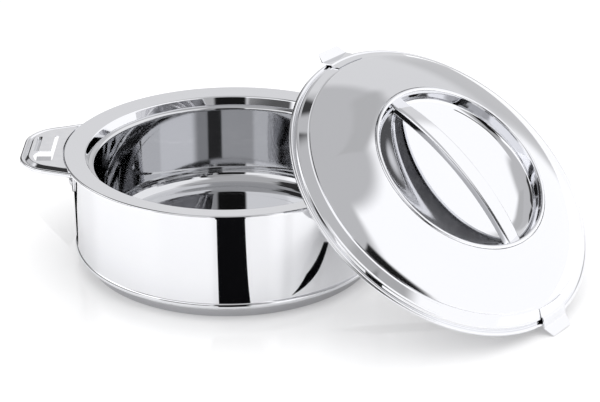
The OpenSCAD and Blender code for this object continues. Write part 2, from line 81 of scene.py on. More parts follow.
def bend_points(a: Point, b: Point, c: Point, radius: float, steps: int) -> list[Point]:
    """Rounds one corner of a line.

    Args:
        a: The point before the corner.
        b: The corner.
        c: The point after it.
        radius: Radius of the bend.
        steps: Straight pieces in the bend.

    Returns:
        The points of the bend, from its start to its end.
    """
    pa, pb, pc = (np.array(p, float) for p in (a, b, c))
    u, v = unit(pa - pb), unit(pc - pb)
    half = math.acos(max(-1.0, min(1.0, float(u @ v)))) / 2
    centre = pb + unit(u + v) * radius / math.sin(half)
    start = pb + u * radius / math.tan(half) - centre
    end = pb + v * radius / math.tan(half) - centre
    first = math.atan2(start[1], start[0])
    turn = (math.atan2(end[1], end[0]) - first + 3 * math.pi) % (2 * math.pi) - math.pi
    x, y = (float(c) for c in centre)
    turns = (first + turn * i / steps for i in range(steps + 1))
    return [(x + radius * math.cos(t), y + radius * math.sin(t)) for t in turns]


def bent_line(*corners: Corner, steps: int = 8, closed: bool = False) -> list[Point]:
    """Turns corners into a line with rounded bends.

    Args:
        *corners: (x, y) or (x, y, bend radius).
        steps: Straight pieces to a bend.
        closed: Whether the last corner joins the first.

    Returns:
        The points of the line.
    """
    points: list[Point] = []
    count = len(corners)
    for i, corner in enumerate(corners):
        if len(corner) > 2 and (closed or 0 < i < count - 1):
            before, after = corners[(i - 1) % count], corners[(i + 1) % count]
            points += bend_points(before[:2], corner[:2], after[:2], corner[2], steps)
        else:
            points.append((corner[0], corner[1]))
    return points


def held(points: Line, margin: float = 0.25) -> list[Point]:
    """Adds a point near each end of every long straight, so that shading turns only in the bends.

    Args:
        points: The line.
        margin: Distance of the added points from the ends.

    Returns:
        The line with its added points.
    """
    out: list[Point] = [points[0]]
    for a, b in zip(points, points[1:]):
        length = math.dist(a, b)
        if length > 5 * margin:
            share = margin / length
            for s in (share, 1 - share):
                out.append((a[0] + (b[0] - a[0]) * s, a[1] + (b[1] - a[1]) * s))
        out.append(b)
    return out


def beside(points: Line, distance: float) -> list[Point]:
    """Moves an open line sideways to its left.

    Args:
        points: The line.
        distance: How far it moves.

    Returns:
        The moved line. A point on the axis stays on it.
    """
    p = np.array(points, float)
    way = np.diff(p, axis=0)
    left = np.stack([-way[:, 1], way[:, 0]], 1) / np.linalg.norm(way, axis=1)[:, None]
    before = np.vstack([left[:1], left])
    after = np.vstack([left, left[-1:]])
    q = p + distance * (before + after) / (1 + (before * after).sum(1))[:, None]
    q[np.abs(p[:, 0]) < 1e-9, 0] = 0.0
    return [(float(x), float(y)) for x, y in q]


def sheet(points: Line, thickness: float) -> list[Point]:
    """Returns the closed outline of sheet that has this line as one face and lies on its left."""
    return list(points) + beside(points, thickness)[::-1]


def round_hit(a: Point, b: Point, radius: float) -> Point:
    """Finds where a straight leaves a circle about the origin.

    Args:
        a: A point inside the circle.
        b: A point outside it.
        radius: The circle's radius.

    Returns:
        The point between a and b that lies on the circle.
    """
    pa, pb = np.array(a), np.array(b)
    way = pb - pa
    p, q, r = float(way @ way), 2 * float(pa @ way), float(pa @ pa) - radius**2
    hit = pa + way * ((-q + math.sqrt(q * q - 4 * p * r)) / (2 * p))
    return float(hit[0]), float(hit[1])


def arc(centre: Point, radius: float, start: float, end: float, steps: int) -> list[Point]:
    """Draws an arc.

    Args:
        centre: Its centre.
        radius: Its radius.
        start: First angle in degrees.
        end: Last angle in degrees.
        steps: Straight pieces.

    Returns:
        The points, both ends included.
    """
    turns = (math.radians(start + (end - start) * i / steps) for i in range(steps + 1))
    return [(centre[0] + radius * math.cos(t), centre[1] + radius * math.sin(t)) for t in turns]


def inside(point: Point, loop: Line) -> bool:
    """Tells whether a point lies inside a closed loop.

    Args:
        point: The point.
        loop: The loop.

    Returns:
        True if it does.
    """
    x, y = point
    odd = False
    for (x0, y0), (x1, y1) in zip(loop, [*loop[1:], loop[0]]):
        if (y0 > y) != (y1 > y) and x < (x1 - x0) * (y - y0) / (y1 - y0) + x0:
            odd = not odd
    return odd


# ---- meshes


def mesh_object(
    name: str, points: Ring, faces: Sequence[Face], sharp: float = SHARP, solid: bool = True
) -> Piece:
    """Makes a smooth-shaded object from points in millimetres.

    Args:
        name: Name of the piece.
        points: Its points.
        faces: Point numbers of each face.
        sharp: Angle in degrees past which an edge stays sharp.
        solid: Whether it is a closed solid, which is turned right side out.

    Returns:
        The new object, linked to the scene.
    """
    mesh = bpy.data.meshes.new(name)
    mesh.from_pydata([(x * MM, y * MM, z * MM) for x, y, z in points], [], faces)
    mesh.validate()
    mesh.update()
    mesh.shade_smooth()
    mesh.set_sharp_from_angle(angle=math.radians(sharp))
    if solid:
        mesh.calc_loop_triangles()
        co = np.array([v.co for v in mesh.vertices])
        a, b, c = co[np.array([t.vertices for t in mesh.loop_triangles])].transpose(1, 0, 2)
        if float(np.einsum("ij,ij->i", a, np.cross(b, c)).sum()) < 0:
            mesh.flip_normals()
    piece = bpy.data.objects.new(name, mesh)
    bpy.context.scene.collection.objects.link(piece)
    return piece


def spun(name: str, outline: Line, turns: int = TURNS, sharp: float = SHARP) -> Piece:
    """Spins a closed outline round the Z axis.

    Args:
        name: Name of the piece.
        outline: (radius, height) points, the solid's section.
        turns: Straight pieces round the axis.
        sharp: Angle in degrees past which an edge stays sharp.

    Returns:
        The spun piece.
    """
    points: list[Triple] = []
    rings: list[Face] = []
    for r, h in outline:
        if r < 1e-6:
            rings.append([len(points)] * turns)
            points.append((0.0, 0.0, h))
            continue
        rings.append(list(range(len(points), len(points) + turns)))
        for k in range(turns):
            a = 2 * math.pi * k / turns
            points.append((r * math.cos(a), r * math.sin(a), h))
    faces: list[Face] = []
    for ring, after in zip(rings, [*rings[1:], rings[0]]):
        if ring[0] == ring[1] and after[0] == after[1]:
            continue
        for k in range(turns):
            m = (k + 1) % turns
            faces.append(list(dict.fromkeys((ring[k], ring[m], after[m], after[k]))))
    return mesh_object(name, points, faces, sharp)


def lofted(name: str, rings: Sequence[Ring]) -> Piece:
    """Skins rings of points that have the same number of points each, and closes both ends.

    Args:
        name: Name of the piece.
        rings: Closed rings of (x, y, z) points in millimetres.

    Returns:
        The skinned piece.
    """
    m, last = len(rings[0]), len(rings) - 1
    points = [tuple(p) for ring in rings for p in ring]
    faces = [
        [i * m + j, i * m + (j + 1) % m, (i + 1) * m + (j + 1) % m, (i + 1) * m + j]
        for i in range(last)
        for j in range(m)
    ]
    faces += [list(range(m))[::-1], [last * m + j for j in range(m)]]
    return mesh_object(name, points, faces)


def plate(name: str, outline: Line, holes: Sequence[Line], low: float, high: float) -> Piece:
    """Makes a flat plate with holes.

    Args:
        name: Name of the piece.
        outline: The outer loop, in millimetres.
        holes: Loops that go right through.
        low: Height of the lower face.
        high: Height of the upper face.

    Returns:
        The plate.
    """
    points: list[Point] = []
    edges: list[tuple[int, int]] = []
    for loop in [outline, *holes]:
        first = len(points)
        points += [(float(x), float(y)) for x, y in loop]
        edges += [(first + i, first + (i + 1) % len(loop)) for i in range(len(loop))]
    flat, _, cells, *_ = delaunay_2d_cdt([Vector(p) for p in points], edges, [], 0, 1e-7)
    upper: list[Face] = []
    for cell in cells:
        centre = tuple(sum(flat[i][k] for i in cell) / len(cell) for k in (0, 1))
        if inside(centre, outline) and not any(inside(centre, hole) for hole in holes):
            upper.append(list(cell))
    count = len(flat)
    sides = dict.fromkeys(side for face in upper for side in zip(face, [*face[1:], face[0]]))
    walls = [[b, a, a + count, b + count] for a, b in sides if (b, a) not in sides]
    lower = [[i + count for i in reversed(face)] for face in upper]
    solid = [(p.x, p.y, h) for h in (high, low) for p in flat]
    return mesh_object(name, solid, [*upper, *lower, *walls])


# ---- shader groups


class Shade:
    """Adds nodes to a tree and links them. A source is a socket or a plain value."""

    def __init__(self, tree: Tree) -> None:
        """Keeps the tree that nodes are added to."""
        self.tree = tree

    def node(self, kind: str, *sources: object, **values: object) -> Node:
        """Adds a node.

        Args:
            kind: Node type without its ShaderNode prefix.
            *sources: Sources for its first inputs.
            **values: Attributes to set on it.

        Returns:
            The node.
        """
        made = self.tree.nodes.new(kind if kind.startswith("Node") else "ShaderNode" + kind)
        for key, value in values.items():
            setattr(made, key, value)
        for source, target in zip(sources, made.inputs):
            self.put(source, target)
        return made

    def put(self, source: object, target: Socket) -> None:
        """Gives an input its source.

        Args:
            source: The source. A colour may leave out its alpha.
            target: The input.
        """
        if isinstance(source, Socket):
            self.tree.links.new(source, target)
        elif isinstance(source, tuple) and target.type == "RGBA":
            target.default_value = (*source[:3], 1.0)
        else:
            target.default_value = source

    def fill(self, made: Node, sources: dict[str, object]) -> Node:
        """Fills a node's inputs by name.

        Args:
            made: The node.
            sources: A source for each input's name.

        Returns:
            The node.
        """
        for key, source in sources.items():
            self.put(source, made.inputs[key])
        return made

    def group(self, tree: Tree, sources: dict[str, object]) -> Node:
        """Returns a node of a shader group, with its inputs filled by name."""
        return self.fill(self.node("Group", node_tree=tree), sources)

    def math(self, operation: str, *sources: object, clamp: bool = False) -> Socket:
        """Returns the result of a Math node."""
        return self.node("Math", *sources, operation=operation, use_clamp=clamp).outputs[0]

    def step(self, value: object, low: object, high: object) -> Socket:
        """Returns 0 below low and 1 above high, with a smooth rise between them."""
        return self.node("MapRange", value, low, high, interpolation_type="SMOOTHSTEP").outputs[0]

    def mix(self, share: object, a: object, b: object, vectors: bool = False) -> Socket:
        """Mixes two colours, or two vectors.

        Args:
            share: The share of b.
            a: The first colour.
            b: The second one.
            vectors: Whether they are vectors.

        Returns:
            The mix.
        """
        made = self.node("Mix", share, data_type="VECTOR" if vectors else "RGBA")
        first, result = (4, 1) if vectors else (6, 2)
        self.put(a, made.inputs[first])
        self.put(b, made.inputs[first + 1])
        return made.outputs[result]

    def noise(self, place: object, size: object, detail: float = 3.0, rough: float = 0.5) -> Socket:
        """Returns the value of a noise texture."""
        sources = {"Vector": place, "Scale": size, "Detail": detail, "Roughness": rough}
        return self.fill(self.node("TexNoise"), sources).outputs["Fac"]

    def bump(self, height: Socket, lift_mm: float) -> Socket:
        """Returns the normal of a surface that this height lifts by up to lift_mm."""
        sources = {"Strength": 1.0, "Distance": lift_mm * MM, "Height": height}
        return self.fill(self.node("Bump"), sources).outputs[0]

    def own_place(self) -> Socket:
        """Returns the place on the piece."""
        return self.node("TexCoord").outputs["Object"]


def new_group(
    name: str, inputs: dict[str, float | tuple], *outputs: str
) -> tuple[Tree, Shade, bpy.types.bpy_prop_collection, Node]:
    """Makes an empty shader group, which puts out plain values.

    Args:
        name: Name of the group.
        inputs: Each input's name and default: a number, or a tuple for a vector.
        *outputs: Each output's name.

    Returns:
        The group, the helper for its nodes, what is given to it, and its output node.
    """
    tree = bpy.data.node_groups.new(name, "ShaderNodeTree")
    for key, value in inputs.items():
        kind = "NodeSocketVector" if isinstance(value, tuple) else "NodeSocketFloat"
        socket = tree.interface.new_socket(name=key, in_out="INPUT", socket_type=kind)
        socket.default_value = value
    for key in outputs:
        tree.interface.new_socket(name=key, in_out="OUTPUT", socket_type="NodeSocketFloat")
    s = Shade(tree)
    return tree, s, s.node("NodeGroupInput").outputs, s.node("NodeGroupOutput")


def polish_group() -> Tree:
    """Builds the group for polished sheet: slow waves, fine scratches, haze and a drifting tone.

    The scratches run in rings round an axis as far as Spin says. Centre and Turn place the axis.

    Returns:
        A group with the outputs Tone, Haze and Height.
    """
    smear_size, scratch_lift = 9.0, 0.004
    axis = {"Spin": 0.0, "Centre": (0.0, 0.0, 0.0), "Turn": (0.0, 0.0, 0.0)}
    inputs = {"Wave size": 30.0, "Scratch size": 900.0, **axis}
    tree, s, given, out = new_group("polished_sheet", inputs, "Tone", "Haze", "Height")
    level = s.node("Mapping", s.own_place(), given["Centre"], given["Turn"], vector_type="TEXTURE")
    place = level.outputs[0]
    x, y, z = s.node("SeparateXYZ", place).outputs
    radius = s.math("SQRT", s.math("ADD", s.math("POWER", x, 2.0), s.math("POWER", y, 2.0)))
    rings = s.node("CombineXYZ", radius, 0.0, z).outputs[0]
    around = s.mix(given["Spin"], place, rings, vectors=True)
    wave = s.noise(place, given["Wave size"], 1.0)
    grain = s.noise(around, given["Scratch size"], 4.0, 0.65)
    fine = s.step(grain, 0.52, 0.75)
    smear = s.noise(place, smear_size, 4.0, 0.6)
    haze = s.math("MULTIPLY", s.step(smear, 0.45, 0.8), 0.6)
    results = {
        "Tone": s.math("ADD", s.math("MULTIPLY", smear, 0.7), s.math("MULTIPLY", fine, 0.3)),
        "Haze": s.math("ADD", haze, s.math("MULTIPLY", fine, 0.4)),
        "Height": s.math("ADD", wave, s.math("MULTIPLY", grain, scratch_lift)),
    }
    s.fill(out, results)
    return tree


def wear_group() -> Tree:
    """Builds the group for edge wear: bright rubbed edges, broken up by noise.

    Returns:
        A group with the output Wear.
    """
    tree, s, given, out = new_group("edge_wear", {"Amount": 0.5, "Break size": 160.0}, "Wear")
    edge = s.step(s.node("NewGeometry").outputs["Pointiness"], 0.51, 0.6)
    broken = s.step(s.noise(s.own_place(), given["Break size"]), 0.35, 0.7)
    worn = s.math("MULTIPLY", s.math("MULTIPLY", edge, broken), given["Amount"], clamp=True)
    s.fill(out, {"Wear": worn})
    return tree


def foam_group() -> Tree:
    """Builds the group for poured foam: cells, and a shade that drifts.

    Returns:
        A group with the outputs Cells and Shade.
    """
    tree, s, given, out = new_group("foam_cells", {"Cell size": 400.0}, "Cells", "Shade")
    place = s.own_place()
    cells = s.fill(s.node("TexVoronoi"), {"Vector": place, "Scale": given["Cell size"]})
    s.fill(out, {"Cells": cells.outputs["Distance"], "Shade": s.noise(place, 25.0, 5.0, 0.6)})
    return tree


@dataclass
class Workshop:
    """The shared shader groups, each built once."""

    polish: Tree = field(default_factory=polish_group)
    wear: Tree = field(default_factory=wear_group)
    foam: Tree = field(default_factory=foam_group)


# ---- finishes


def start_material(name: str) -> tuple[Material, Shade, Node]:
    """Makes a material with only a Principled shader.

    Args:
        name: Name of the material.

    Returns:
        The material, the helper for its nodes, and the shader.
    """
    material = bpy.data.materials.new(name)
    material.use_nodes = True
    material.node_tree.nodes.clear()
    s = Shade(material.node_tree)
    shader = s.node("BsdfPrincipled")
    s.node("OutputMaterial", shader.outputs[0])
    return material, s, shader


@dataclass(frozen=True)
class Finish:
    """A finish of two colours that drift into each other."""

    name: str
    colour: Triple
    second: Triple

    def paint(self, s: Shade, shop: Workshop) -> dict[str, object]:
        """Works out what the shader takes.

        Args:
            s: The helper for the material's nodes.
            shop: The shared shader groups.

        Returns:
            A source for each of the shader's inputs.
        """
        raise NotImplementedError

    def material(self, shop: Workshop) -> Material:
        """Builds the finish's material.

        Args:
            shop: The shared shader groups.

        Returns:
            The material.
        """
        material, s, shader = start_material(self.name)
        s.fill(shader, self.paint(s, shop))
        return material


@dataclass(frozen=True)
class SteelFinish(Finish):
    """Stainless sheet, from mirror polished to brushed. The second colour is that of worn edges."""

    colour: Triple = (0.86, 0.865, 0.885)
    second: Triple = (0.93, 0.93, 0.94)
    rough: float = 0.035
    haze: float = 0.03
    edge_haze: float = 0.03
    wave_mm: float = 0.02
    wave_size: float = 16.0
    spin: float = 1.0
    scratch_size: float = 900.0
    wear: float = 0.5
    drift: float = 0.965
    centre: Triple = (0.0, 0.0, 0.0)
    turn: Triple = (0.0, 0.0, 0.0)

    def paint(self, s: Shade, shop: Workshop) -> dict[str, object]:
        """Works out what the shader takes.

        Args:
            s: The helper for the material's nodes.
            shop: The shared shader groups.

        Returns:
            A source for each of the shader's inputs.
        """
        sizes = {"Wave size": self.wave_size, "Scratch size": self.scratch_size, "Spin": self.spin}
        polish = s.group(shop.polish, {**sizes, "Centre": self.centre, "Turn": self.turn}).outputs
        wear = s.group(shop.wear, {"Amount": self.wear}).outputs["Wear"]
        tone = s.mix(polish["Tone"], self.colour, tuple(c * self.drift for c in self.colour))
        rough = s.math("MULTIPLY_ADD", polish["Haze"], self.haze, self.rough)
        return {
            "Base Color": s.mix(wear, tone, self.second),
            "Roughness": s.math("ADD", rough, s.math("MULTIPLY", wear, self.edge_haze)),
            "Metallic": 1.0,
            "Normal": s.bump(polish["Height"], self.wave_mm),
        }


@dataclass(frozen=True)
class DullFinish(Finish):
    """Rubber, or poured foam where it has cells."""

    rough: float = 0.6
    haze: float = 0.2
    lift_mm: float = 0.05
    cell_size: float = 0.0

    def paint(self, s: Shade, shop: Workshop) -> dict[str, object]:
        """Works out what the shader takes.

        Args:
            s: The helper for the material's nodes.
            shop: The shared shader groups.

        Returns:
            A source for each of the shader's inputs.
        """
        if self.cell_size:
            grain = s.group(shop.foam, {"Cell size": self.cell_size}).outputs
            tone = haze = grain["Shade"]
            height = grain["Cells"]
        else:
            grain = s.group(shop.polish, {"Wave size": 40.0, "Scratch size": 700.0}).outputs
            tone, haze, height = grain["Tone"], grain["Haze"], grain["Height"]
        return {
            "Base Color": s.mix(tone, self.colour, self.second),
            "Roughness": s.math("MULTIPLY_ADD", haze, self.haze, self.rough),
            "Normal": s.bump(height, self.lift_mm),
        }


@dataclass(frozen=True)
class Lean:
    """Where the lid rests: its centre in millimetres, and its turns in degrees."""

    centre: Triple = (153.539, -66.9842, 80.2368)
    azimuth: float = -43.1
    tilt: float = 37.3
    twist: float = 2.5

    @property
    def move(self) -> Matrix:
        """The move from the level lid to the leaning one."""
        turn = Matrix.Identity(4)
        for degrees, axis in ((self.azimuth, "Z"), (self.tilt, "Y"), (self.twist, "Z")):
            turn @= Matrix.Rotation(math.radians(degrees), 4, axis)
        return Matrix.Translation(Vector(self.centre) * MM) @ turn

    def placed(self) -> dict[str, tuple[float, ...]]:
        """Returns the centre and turn that a finish on the lid takes."""
        return {"centre": tuple(self.move.translation), "turn": tuple(self.move.to_euler())}


class Slot(Enum):
    """The record's material slots."""

    POT = "pot_steel"
    BASE = "base_steel"
    HANDLE = "handle_steel"
    RIVET = "rivet_steel"
    LID = "lid_steel"
    COVER = "cover_steel"
    GRIP = "grip_steel"
    FOAM = "foam"
    PLUG = "plug_rubber"


class Finishes:
    """Every finish of the casserole, built once: one for each slot, and two of single pieces."""

    def __init__(self, shop: Workshop) -> None:
        """Builds the materials.

        Args:
            shop: The shared shader groups.
        """
        lean = Lean().placed()
        flat = {"spin": 0.0}
        base, cover, rivet = (0.6, 0.6, 0.62), (0.72, 0.72, 0.74), (0.7, 0.7, 0.72)
        finishes = {
            Slot.POT: SteelFinish("polished_pot_steel"),
            Slot.HANDLE: SteelFinish("pressed_handle_steel", wave_size=40.0, wave_mm=0.012, **flat),
            Slot.RIVET: SteelFinish("rivet_steel", rivet, rough=0.09, **flat),
            Slot.LID: SteelFinish("polished_lid_steel", **lean),
            Slot.GRIP: SteelFinish("polished_grip_steel", wave_size=24.0, **flat, **lean),
            Slot.BASE: SteelFinish("satin_base_steel", base, rough=0.22, haze=0.08),
            Slot.COVER: SteelFinish("satin_cover_steel", cover, rough=0.16, haze=0.08, **lean),
            Slot.FOAM: DullFinish(
                "poured_foam", (0.72, 0.58, 0.29), (0.82, 0.71, 0.42), 0.82, 0.1, 0.4, 420.0
            ),
            Slot.PLUG: DullFinish("plug_rubber", (0.022, 0.022, 0.024), (0.06, 0.06, 0.06)),
        }
        self.by_slot = {slot: finish.material(shop) for slot, finish in finishes.items()}
        self.liner = SteelFinish(
            "polished_liner_steel", (0.68, 0.685, 0.7), (0.8, 0.8, 0.81), wave_mm=0.03
        ).material(shop)
        # Painted shade: near-black steel for the grip's underside stands in for the shade under the
        # bar, which the dish mirrors as dark bands.
        self.painted_shade = SteelFinish(
            "painted_shade_strip_steel", (0.06, 0.06, 0.065), (0.12, 0.12, 0.12), 0.3, 0.1, **flat
        ).material(shop)


# ---- sub-assemblies


@dataclass
class SubAssembly:
    """A group of pieces on one body, with the finishes that they share."""

    finishes: Finishes
    body: Body = Body.POT
    sheet_t: float = 0.8

    def settle(self, piece: Piece, slot: Slot, node: str, material: Material | None = None) -> None:
        """Dresses a piece, ties it to its body and hides the node that it stands for.

        Args:
            piece: The piece, in place.
            slot: Its material slot.
            node: The CAD node that it replaces.
            material: The piece's own finish, if it has one.
        """
        piece.data.materials.append(material or self.finishes.by_slot[slot])
        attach(piece, self.body.value)
        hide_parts(node)
        LOG.info("made %s on %s: %d faces", piece.name, self.body.value, len(piece.data.polygons))

    def dress(self, name: str, slot: Slot, material: Material | None = None) -> None:
        """Puts a finish on a node that stays.

        Args:
            name: Name of the node.
            slot: Its material slot.
            material: The node's own finish, if it has one.
        """
        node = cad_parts[name]
        finish = material or self.finishes.by_slot[slot]
        if not node.material_slots:
            node.data.materials.append(finish)
        for own in node.material_slots:
            own.material = finish
        LOG.info("dressed node %s in %s", name, slot.value)


@dataclass
class Pot(SubAssembly):
    """The double-walled pot: casing, collar, liner, foam and base."""

    pot_h: float = 86.0
    flange_r: float = 125.0
    flange_w: float = 16.2
    flange_overhang: float = 6.5
    flange_dish: float = 2.3
    flange_lip: float = 2.5
    step_h: float = 6.3
    step_lean: float = 2.3
    ledge_w: float = 4.3
    ledge_bend: float = 3.0
    well_lean: float = 0.9
    well_floor_h: float = 12.5
    well_bend: float = 12.0
    floor_step: float = 0.8
    floor_disc_r: float = 72.0
    bead_h: float = 12.4
    bead_r: float = 2.6
    bead_out: float = 1.0
    foot_inset: float = 9.5
    foot_half: float = 1.6
    base_lift: float = 4.0
    filler_r: float = 6.0
    flange_bend: float = 1.2
    mouth_bend: float = 1.6
    disc_slope: float = 1.5
    disc_bend: float = 0.6
    hem_w: float = 5.3
    tuck_w: float = 5.0
    foot_slope: float = 3.5
    base_bend: float = 1.0
    base_edge: float = 4.6
    nest_gap: float = 0.1

    @property
    def casing_r(self) -> float:
        """Outer radius of the casing."""
        return self.flange_r - self.flange_overhang

    @property
    def mouth(self) -> Point:
        """Radius and height of the flange's inner edge."""
        return self.flange_r - self.flange_w, self.pot_h - self.flange_dish

    @property
    def ledge(self) -> Point:
        """Radius and height of the ledge's outer end."""
        return self.mouth[0] - self.step_lean, self.mouth[1] - self.step_h

    @property
    def well_r(self) -> float:
        """Radius of the food well at the ledge."""
        return self.ledge[0] - self.ledge_w

    @property
    def bead_x(self) -> float:
        """Radius at which the bead's centre runs."""
        return self.casing_r + self.bead_out - self.bead_r

    def under_flange(self, r: float) -> float:
        """Returns the height of the flange's lower face at radius r."""
        slope = self.flange_dish / self.flange_w
        return self.pot_h - (self.flange_r - r) * slope - self.sheet_t * math.hypot(1, slope)

    def collar(self) -> list[Point]:
        """Draws the flange with its outer lip, the step wall and the seat.

        Returns:
            The line of their upper face.
        """
        seat_h = self.ledge[1] - self.sheet_t
        return bent_line(
            (self.flange_r, self.pot_h - self.flange_lip),
            (self.flange_r, self.pot_h, self.flange_bend),
            (*self.mouth, self.mouth_bend),
            self.ledge,
            (self.ledge[0], seat_h),
            (self.well_r + self.ledge_bend + self.nest_gap, seat_h),
        )

    def liner(self) -> list[Point]:
        """Draws the ledge, the wall of the food well and its floor with the raised disc.

        Returns:
            The line of their inner face.
        """
        return bent_line(
            (self.ledge[0] - self.nest_gap, self.ledge[1]),
            (self.well_r, self.ledge[1], self.ledge_bend),
            (self.well_r - self.well_lean, self.well_floor_h, self.well_bend),
            (self.floor_disc_r + self.disc_slope, self.well_floor_h, self.disc_bend),
            (self.floor_disc_r, self.well_floor_h + self.floor_step, self.disc_bend),
            (0.0, self.well_floor_h + self.floor_step),
            steps=12,
        )

    def casing(self) -> list[Point]:
        """Draws the outer wall with the bead round its lower edge.

        Returns:
            The line of its outer face.
        """
        top = math.degrees(math.acos((self.bead_r - self.bead_out) / self.bead_r))
        line = [(self.casing_r - self.hem_w, self.bead_h - self.bead_r)]
        line += arc((self.bead_x, self.bead_h), self.bead_r, -90, top, 18)
        for r in (self.casing_r, self.casing_r - self.tuck_w):
            line.append((r, self.under_flange(r) - self.nest_gap))
        return line

    def base(self) -> list[Point]:
        """Draws the dished base plate with its foot ring.

        Returns:
            The line of its lower face.
        """
        foot = self.casing_r - self.foot_inset
        rim_h = self.bead_h - self.bead_r - self.sheet_t
        return bent_line(
            (self.filler_r, self.base_lift),
            (foot - self.foot_half - self.foot_slope, self.base_lift, self.base_bend),
            (foot - self.foot_half, 0.0, self.base_bend),
            (foot + self.foot_half, 0.0, self.base_bend),
            (self.casing_r - self.base_edge, rim_h, self.base_bend),
            (self.bead_x, rim_h),
        )

    def build(self) -> None:
        """Makes every piece of the pot and dresses the nodes that stay.

        Each piece is a line of its section, thickened to sheet and spun.
        """
        for name, node, line, turns, slot, own in (
            ("collar", "top_collar", self.collar(), TURNS, Slot.POT, None),
            ("liner", "inner_liner", self.liner(), TURNS, Slot.POT, self.finishes.liner),
            ("casing", "outer_casing", self.casing(), FINE_TURNS, Slot.POT, None),
            ("base", "base_plate", self.base(), TURNS, Slot.BASE, None),
        ):
            piece = spun(name, sheet(held(line), self.sheet_t), turns)
            self.settle(piece, slot, node, own)
        self.dress("body_insulation", Slot.FOAM)
        self.dress("base_filler_plug", Slot.PLUG)


@dataclass
class Handles(SubAssembly):
    """The two pressed handles, with their brackets and rivets."""

    top_h: float = 86.0
    flange_r: float = 125.0
    casing_r: float = 118.5
    flange_lip: float = 2.5
    reach: float = 24.6
    tip_half: float = 29.6
    flare: float = 44 / 117
    corner_r: float = 23.0
    corner_steps: int = 28
    sweep_r: float = 14.0
    sweep_from: float = 7.0
    sweep_to: float = 14.0
    sweep_out: float = 12.5
    side_w: float = 24.0
    edge_inset: float = 1.0
    rim_out: float = 6.4
    rim_h: float = 4.4
    hem_w: float = 1.0
    hem_h: float = 0.8
    roll_w: float = 2.0
    roll_drop: float = 0.9
    valley_at: float = 0.47
    valley_drop: float = 2.3
    window_gap: float = 6.1
    arm_w: float = 2.9
    arm_side: float = 21.5
    open_side: float = 26.0
    slant_run: float = 7.5
    slant_w: float = 3.3
    lip_h: float = 1.8
    lip_lean: float = 3.4
    lip_inset: float = 0.7
    lip_short: float = 5.0
    tongue_w: float = 9.3
    tongue_tip: float = 8.0
    groove_w: float = 3.6
    groove_h: float = 2.0
    groove_rise: float = 4.0
    bracket_t: float = 1.2
    gap: float = 0.3

    @property
    def tip(self) -> float:
        """X of the flat top's outer edge."""
        return self.flange_r + self.reach

    @property
    def seat(self) -> float:
        """Radius of the round edge that faces the flange."""
        return self.flange_r + self.gap

    @property
    def root_h(self) -> float:
        """Height of the upper face of the root plate, below the flange."""
        return self.top_h - self.flange_lip - self.gap

    @property
    def window_in(self) -> float:
        """X of the window's side next to the flange."""
        return self.flange_r + self.window_gap

    @property
    def tongue_out(self) -> float:
        """X of the tongue's outer side."""
        return self.window_in + self.arm_w + self.tongue_w

    @property
    def groove_out(self) -> float:
        """X of the groove's outer side."""
        return self.tongue_out + self.groove_w

    @property
    def groove_end(self) -> float:
        """Y of the groove's far end."""
        return -self.arm_side + 1.5

    @property
    def corners(self) -> list[Corner]:
        """The flat top's two large corners."""
        return [(self.tip, side * self.tip_half, self.corner_r) for side in (-1, 1)]

    def half_at(self, x: float) -> float:
        """Returns half the flat top's width at x."""
        return self.tip_half + self.flare * (self.tip - x)

    def rim_section(self) -> list[Point]:
        """Draws the rim's section, with a point just below and just above the flange's lip.

        Returns:
            Its closed outline, as (out from the flat top's edge, height).
        """
        split = self.root_h - self.top_h
        line = bent_line(
            (self.rim_out - self.hem_w, -self.rim_h),
            (self.rim_out, -self.rim_h + self.hem_h, 0.5),
            (self.rim_out, split - 0.01),
            (self.rim_out, split + 0.01),
            (self.rim_out, -self.roll_drop, 1.2),
            (self.rim_out - self.roll_w, -self.roll_drop, 0.9),
            (self.rim_out * self.valley_at, -self.valley_drop, 0.7),
            (0.0, 0.0, 0.9),
            (-self.edge_inset, 0.0),
            steps=6,
        )
        return sheet(held(line, 0.12), self.sheet_t)

    def rim_path(self) -> list[Point]:
        """Draws the flat top's edge between the two straight sides.

        Returns:
            The line, which goes a little way into each side.
        """
        root = self.tip - self.side_w
        half = self.half_at(root)
        line = bent_line((root, -half), *self.corners, (root, half), steps=self.corner_steps)
        return held(line, 0.4)[1:-1]

    def rim(self) -> Piece:
        """Makes the rolled rim, whose ends are cut round to the casing and the flange.

        Returns:
            The rim.
        """
        section, path = self.rim_section(), self.rim_path()
        moved = [(beside(path, -out), self.top_h + h) for out, h in section]
        rings = [[(*line[k], h) for line, h in moved] for k in range(len(path))]
        for end, after in ((0, 1), (-1, -2)):
            way = unit(np.array(path[end]) - np.array(path[after]))
            ring = []
            for x, y, z in rings[end]:
                limit = self.seat if z > self.root_h else self.casing_r + self.gap
                start = np.array([x, y])
                along = float(start @ way)
                run = -along - math.sqrt(max(along**2 - float(start @ start) + limit**2, 0.0))
                ring.append((float(x + way[0] * run), float(y + way[1] * run), z))
            rings = [ring, *rings] if end == 0 else [*rings, ring]
        return lofted("handle_rim", rings)

    def window(self) -> list[Point]:
        """Draws the L-shaped window, with the slot that the groove fills.

        Returns:
            Its closed outline.
        """
        tongue_in = self.window_in + self.arm_w
        inner, outer = self.tongue_out - 0.5, self.groove_out + 0.5
        return bent_line(
            (self.window_in, -self.arm_side, 1.2),
            (tongue_in, -self.arm_side, 1.2),
            (tongue_in, self.tongue_tip, 1.5),
            (inner, self.tongue_tip, 0.4),
            (inner, self.groove_end),
            (outer, self.groove_end),
            (outer, self.tongue_tip),
            (self.tongue_out + 0.2, self.tongue_tip),
            (self.groove_out - 0.3, self.tongue_tip + self.slant_run, 2.0),
            (self.groove_out - self.slant_w, self.open_side, 3.0),
            (self.window_in, self.open_side, 2.0),
            closed=True,
        )

